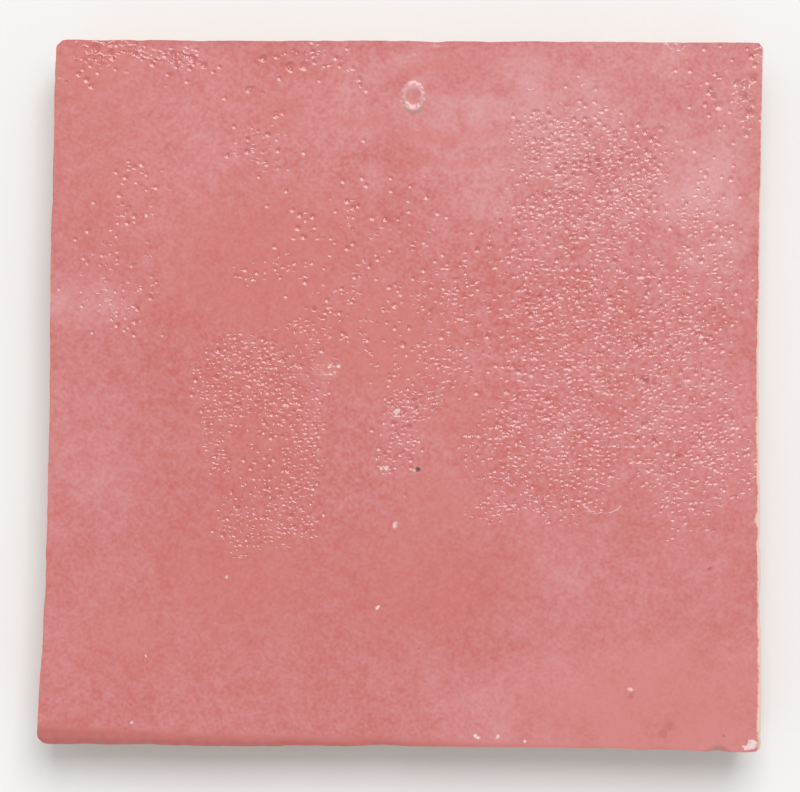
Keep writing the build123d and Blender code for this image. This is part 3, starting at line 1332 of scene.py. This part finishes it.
    def spots(self, board: NodeBoard, place: Signal, spots: Iterable[Spot]) -> Signal:
        """Where some spots are.

        Args:
            board: The material's nodes.
            place: The place in millimetres, at no height.
            spots: The spots.

        Returns:
            Each spot's strength within it and 0 outside.
        """
        found = []
        for spot in spots:
            ends = {0: place, 1: (spot.x, spot.y, 0.0)}
            away = board.add("ShaderNodeVectorMath", {"operation": "DISTANCE"}, ends, "Value")
            found.append(away.fade(spot.radius * self.spot_core, spot.radius, spot.strength))
        return reduce(Signal.at_least, found)

    def ring_lines(self, board: NodeBoard, place: Signal, rings: Iterable[Ring]) -> Signal:
        """Where some oval lines are.

        Args:
            board: The material's nodes.
            place: The place in millimetres.
            rings: The lines.

        Returns:
            1 on the lines and 0 away from them.
        """
        found = []
        for ring in rings:
            from_middle = board.vector("SUBTRACT", place, (ring.x, ring.y, 0.0))
            scaled = board.vector("MULTIPLY", from_middle, (1 / ring.across, 1 / ring.up, 0.0))
            line = 1 - (board.length(scaled) - 1).size().rise(0.0, 2 * ring.line / ring.across)
            if ring.lower_half:
                upward = board.add("ShaderNodeSeparateXYZ", {}, {0: scaled}, "Y")
                line = line * (1 - upward.rise(self.half_start, self.half_end))
            found.append(line)
        return reduce(Signal.at_least, found)

    def chance(self, board: NodeBoard, place: Signal) -> Chance:
        """Gathers the kinds of unevenness.

        Args:
            board: The material's nodes.
            place: The place in millimetres.

        Returns:
            The unevenness at the place.
        """
        sockets = {"Vector": place, "Axis": self.turn_axis, "Angle": self.turn}
        turned = board.add("ShaderNodeVectorRotate", {}, sockets, "Vector")
        return Chance(
            clouds=board.trait(Trait.CLOUDED),
            smudge=board.trait(Trait.SMUDGED),
            mottle=board.cloud(turned, self.mottle_pitch, self.mottle_detail),
            grain=board.cloud(turned, self.grain_pitch),
        )

    def marks(self, board: NodeBoard, level: Signal, chance: Chance) -> GlazeMarks:
        """Finds the marks in the glaze.

        Args:
            board: The material's nodes.
            level: The place in millimetres, at no height.
            chance: The kinds of unevenness.

        Returns:
            Where each kind of mark is.
        """
        uneven = board.drift(level, self.unevenness, chance.grain)
        slewed = board.add("ShaderNodeVectorRotate", {}, {"Vector": level, "Angle": self.turn}, "Vector")
        squat = board.vector("MULTIPLY", level, (1 / self.bead_across, 1 / self.bead_up, 0.0))
        drops = board.cloud(squat, 1.0, flat=True).rise(0.0, self.bead_full)
        return GlazeMarks(
            fine_pits=self.fine_pits.mask(board, uneven, chance),
            bold_pits=self.bold_pits.mask(board, slewed, chance),
            beads=drops * self.beaded.mask(board, chance),
            rings=self.ring_lines(board, uneven, self.rings) * self.ring_blotch.of(chance),
            ring_soil_and_shadow=self.ring_lines(board, uneven, self.ring_soil_and_shadow),
            pinholes=self.spots(board, level, self.pinholes),
            dark_specks_and_dent_shade=self.spots(board, uneven, self.dark_specks_and_dent_shade),
            pale_dots_and_glints=self.spots(board, uneven, self.pale_dots_and_glints),
            pimples=self.spots(board, level, self.pimples),
            blebs=self.spots(board, level, self.blebs),
        )

    def glaze_colour(
        self, board: NodeBoard, chance: Chance, marks: GlazeMarks, haze_and_sheen: Signal, rolled: Signal
    ) -> Signal:
        """Colours the glaze and its marks, painted light among them: paler hazy glaze partly as painted
        sheen, painted shade in the pits, dents and pinhole and on the rolled edge, painted shadow under the
        blister ring, and painted highlights on the ring lines and in pale dots.

        Args:
            board: The material's nodes.
            chance: The kinds of unevenness.
            marks: Where the marks are.
            haze_and_sheen: How hazy the glaze is.
            rolled: Where the face is rolled over.

        Returns:
            The colour.
        """
        lively = self.calm_texture + board.trait(Trait.LIVELY) * self.lively_texture
        # Hazy patches pale the tone: partly paler glaze, partly painted sheen.
        tone = self.tone.of(chance) + haze_and_sheen * self.painted_sheen_tone + self.texture.of(chance) * lively
        warmth = board.trait(Trait.WARMTH) * self.warmth_blotch.of(chance)
        # Pits and blebs darkened: partly pooled glaze, partly painted shade.
        pit_pool_and_shade_mask = (marks.bold_pits * self.bold_pit_pool_and_shade).at_least(marks.fine_pits * self.fine_pit_pool_and_shade)
        colour = board.blend(self.deep, self.pale, tone.rise(self.deep_tone, self.pale_tone))
        # Laid over the tone in turn: warmth; pits darkened partly with painted shade; painted shade on the
        # rolled edge; ring lines with painted highlight; soil and painted shadow under the blister ring;
        # dark specks and painted shade in dents; pale dots with painted glints; painted shade in the
        # pinhole.
        for over, share in (
            (self.warm, warmth * self.warmth_share),
            (self.pit_pool_and_shade, pit_pool_and_shade_mask.at_least(marks.blebs * self.bleb_pool_and_shade)),
            (self.rolled, rolled * self.rolled_shade_blotch.of(chance)),
            (self.ring_pale_and_highlight, marks.rings * self.ring_share),
            (self.soil_and_shadow, marks.ring_soil_and_shadow * self.soil_and_shadow_share),
            (self.dark_speck_and_dent_shade, marks.dark_specks_and_dent_shade),
            (self.pale_dot_and_glint, marks.pale_dots_and_glints),
            (self.pinhole_shade, marks.pinholes),
        ):
            colour = board.blend(colour, over, share)
        return colour

    def relief(self, chance: Chance, marks: GlazeMarks, below: Signal) -> Signal:
        """Raises and sinks the marks, and roughens the bare clay.

        Args:
            chance: The kinds of unevenness.
            marks: Where the marks are.
            below: How far the place lies below the rim.

        Returns:
            The height of the relief in millimetres.
        """
        relief = marks.rings * self.ring_height + marks.beads * self.bead_height
        relief = relief + marks.pimples * self.pimple_height - marks.fine_pits * self.fine_pits.depth
        relief = relief - marks.bold_pits * self.bold_pits.depth - marks.pinholes * self.pinhole_depth
        relief = relief - marks.blebs * self.bleb_depth
        return relief + chance.grain * self.earth_relief * below.rise(self.lap, 2 * self.lap)

    def make(self) -> bpy.types.Material:
        """Builds the material.

        Returns:
            One material for the glaze, the bare rim, the sides and the back.
        """
        material = bpy.data.materials.new("glazed_clay_finish")
        material.use_nodes = True
        board = NodeBoard(material.node_tree)
        metres = board.add("ShaderNodeTexCoord", {}, {}, "Object")
        place = board.vector("MULTIPLY", metres, (1 / MM, 1 / MM, 1 / MM))
        level = board.vector("MULTIPLY", place, (1.0, 1.0, 0.0))
        chance = self.chance(board, place)
        marks = self.marks(board, level, chance)
        haze_and_sheen = (board.trait(Trait.HAZE) * self.haze_blotch.of(chance)).at_least(0.0)
        rolled = self.roll.mask(board, chance)

        lap = self.lap + self.lap_unevenness * (chance.smudge + chance.clouds).at_least(self.lap_least)
        unglazed = self.unglazed.mask(board, chance, lap + rolled * self.lap_on_roll)
        flaked = self.flake.mask(board, chance)
        bared = self.bare.mask(board, chance, rolled)
        rough = unglazed.at_least(bared).at_least(flaked)
        dark = self.earth.of(chance).rise(self.earth_start, self.earth_full)
        colour = self.glaze_colour(board, chance, marks, haze_and_sheen, rolled)
        colour = board.blend(colour, self.cream, bared)
        # The flaked corner: bare clay with a painted highlight.
        colour = board.blend(colour, self.chip_and_highlight, flaked * self.flake_blotch.of(chance))
        colour = board.blend(colour, board.blend(self.clay, self.clay_dark, dark), unglazed)

        height = self.relief(chance, marks, board.trait(Trait.BELOW))
        normal = board.add("ShaderNodeBump", {}, {"Strength": 1.0, "Distance": MM, "Height": height})
        bareness = (self.clay_roughness - self.glaze_roughness.level) * rough
        shader = board.add(
            "ShaderNodeBsdfPrincipled",
            {},
            {
                "Base Color": colour,
                "Roughness": self.glaze_roughness.of(chance) + bareness,
                "Coat Weight": self.haze_weight * haze_and_sheen * (1 - rough),
                "Coat Roughness": self.haze_roughness,
                "IOR": self.glaze_ior,
                "Normal": normal,
            },
        )
        board.put("ShaderNodeOutputMaterial", {}, {"Surface": shader})
        return material


@dataclass(frozen=True)
class Studio:
    """A pale floor, one soft lamp above the top of the tile, even light all round, and the camera."""

    floor_size: float = 4.0
    floor_drop: float = 0.0001
    floor_tone: float = 0.93
    lamp_size: float = 1.9
    lamp_distance: float = 3.5
    lamp_lean: float = 28.0
    lamp_turn: float = 12.0
    lamp_power: float = 68.0
    fill: float = 0.55
    lens: float = 200.0
    sensor: float = 36.0
    view_width: float = 0.111

    def floor(self) -> bpy.types.Object:
        """Lays the floor.

        Returns:
            The floor's object.
        """
        half = self.floor_size / 2
        mesh = bpy.data.meshes.new("floor")
        corners = [(-half, -half), (half, -half), (half, half), (-half, half)]
        mesh.from_pydata([(x, y, -self.floor_drop) for x, y in corners], [], [(0, 1, 2, 3)])
        material = bpy.data.materials.new("pale_floor")
        material.use_nodes = True
        board = NodeBoard(material.node_tree)
        tone = (self.floor_tone, self.floor_tone, self.floor_tone, 1.0)
        shader = board.add("ShaderNodeBsdfDiffuse", {}, {"Color": tone})
        board.put("ShaderNodeOutputMaterial", {}, {"Surface": shader})
        mesh.materials.append(material)
        floor = bpy.data.objects.new("floor", mesh)
        bpy.context.scene.collection.objects.link(floor)
        floor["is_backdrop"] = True
        return floor

    def lamp(self) -> bpy.types.Object:
        """Hangs the soft lamp, leaning towards the top of the tile.

        Returns:
            The lamp's object.
        """
        data = bpy.data.lights.new("soft_lamp", "AREA")
        data.shape = "SQUARE"
        data.size = self.lamp_size
        data.energy = self.lamp_power
        lean, turn = math.radians(self.lamp_lean), math.radians(self.lamp_turn)
        way = Vector((math.sin(lean) * math.sin(turn), math.sin(lean) * math.cos(turn), math.cos(lean)))
        lamp = bpy.data.objects.new("soft_lamp", data)
        lamp.location = way * self.lamp_distance
        lamp.rotation_euler = way.to_track_quat("Z", "Y").to_euler()
        bpy.context.scene.collection.objects.link(lamp)
        return lamp

    def surround(self) -> bpy.types.World:
        """Sets the even light: white to look at and in reflections, dimmer as light.

        Returns:
            The world.
        """
        world = bpy.data.worlds.new("even_light")
        world.use_nodes = True
        board = NodeBoard(world.node_tree)
        from_camera = board.add("ShaderNodeLightPath", {}, {}, "Is Camera Ray")
        others = [board.also(from_camera, name) for name in ("Is Glossy Ray", "Is Transmission Ray")]
        seen = reduce(Signal.at_least, others, from_camera)
        sockets = {"Color": (1.0, 1.0, 1.0, 1.0), "Strength": self.fill + (1 - self.fill) * seen}
        light = board.add("ShaderNodeBackground", {}, sockets)
        board.put("ShaderNodeOutputWorld", {}, {"Surface": light})
        bpy.context.scene.world = world
        return world

    def camera(self, face_height: float) -> bpy.types.Object:
        """Sets the camera straight above the tile, with its top at the top of the picture.

        Args:
            face_height: The height of the glazed face above the floor, in metres.

        Returns:
            The camera's object.
        """
        data = bpy.data.cameras.new("camera")
        data.lens = self.lens
        data.sensor_width = self.sensor
        camera = bpy.data.objects.new("camera", data)
        camera.location = (0, 0, face_height + self.view_width * self.lens / self.sensor)
        bpy.context.scene.collection.objects.link(camera)
        bpy.context.scene.camera = camera
        return camera

    def build(self, face_height: float) -> None:
        """Sets up the floor, the light and the camera.

        Args:
            face_height: The height of the glazed face above the floor, in metres.
        """
        for thing in (self.floor(), self.lamp(), self.surround(), self.camera(face_height)):
            LOG.info("studio: %s", thing.name)
        bpy.context.scene.view_settings.view_transform = "Standard"


def main() -> None:
    """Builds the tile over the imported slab, dresses it and sets up the studio."""
    logging.basicConfig(level=logging.INFO, format="%(message)s")
    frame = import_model()
    slab_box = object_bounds()
    tile = HandCutTile(frame["nodes"]["tile"])
    piece = tile.build()
    tile.dress(piece, GlazedClay())
    LOG.info("tile: %d points, %d faces", len(piece.data.vertices), len(piece.data.polygons))
    Studio().build(slab_box[1].z)


if __name__ == "__main__":
    main()
